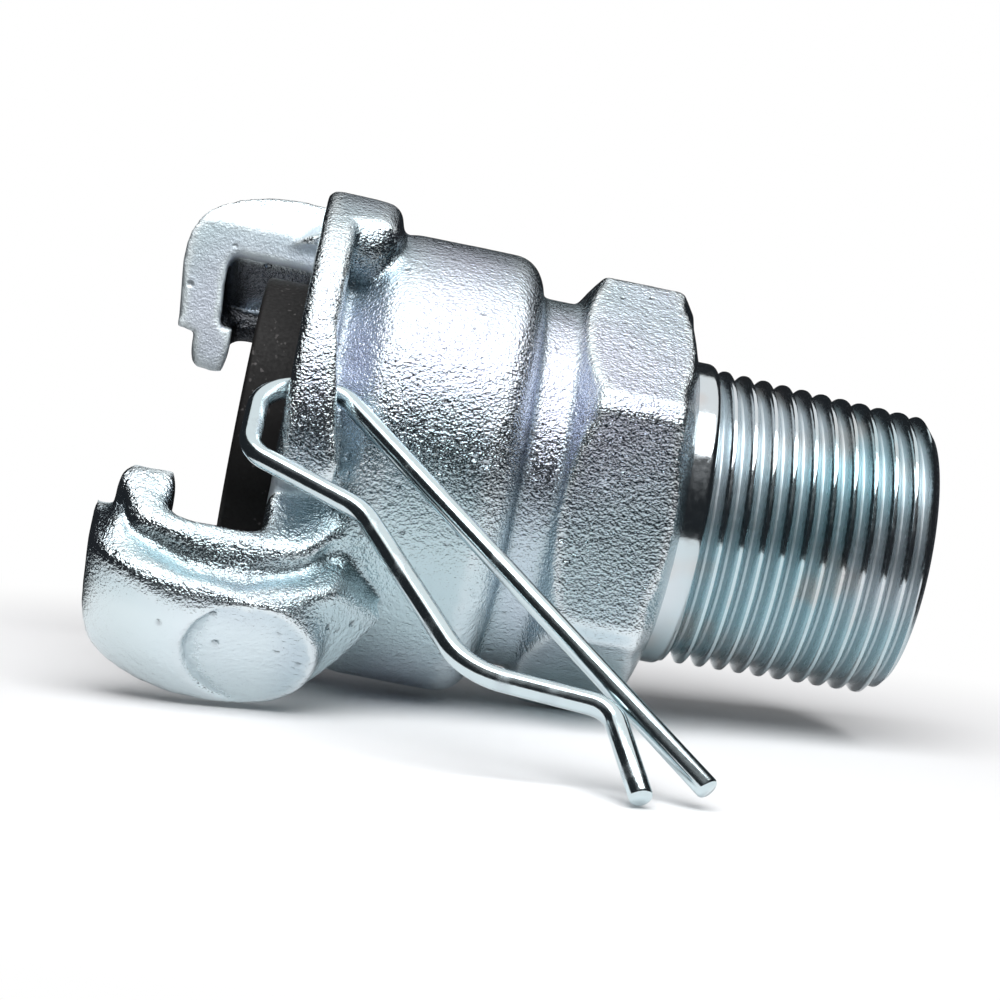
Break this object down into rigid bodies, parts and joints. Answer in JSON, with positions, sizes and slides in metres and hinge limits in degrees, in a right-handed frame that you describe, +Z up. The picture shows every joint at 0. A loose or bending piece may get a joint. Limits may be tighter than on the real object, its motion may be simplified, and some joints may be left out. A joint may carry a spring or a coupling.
{
  "type": "claw hose coupling",
  "caption": "Claw coupling head for compressed air hose with a male taper pipe thread, rubber face gasket and wire safety clip.",
  "frame": {"origin": "on the coupling's axis, in the plane of the gasket's sealing face", "axes": "+Z up, as the coupler lies at rest; +X along the floor toward the threaded end, above which the axis dips; +Y away from the ear that carries the clip"},
  "size_m": [0.092, 0.0986, 0.0572],
  "materials": {
    "zinc_plated_casting": "bright blue-white zinc over grainy cast iron",
    "black_rubber": "matt",
    "plated_wire": "bright drawn wire"
  },
  "bodies": {
    "head": {"coupler_body": "zinc_plated_casting", "gasket": "black_rubber"},
    "clip": {"safety_clip": "plated_wire"}
  },
  "joints": [
    {"name": "clip_swing", "type": "hinge", "parent": "head", "child": "clip", "pos_m": [0.00782, -0.02423, 0.00502], "axis": [0.9953, 0, -0.0964], "range_deg": [-100, 4]}
  ]
}
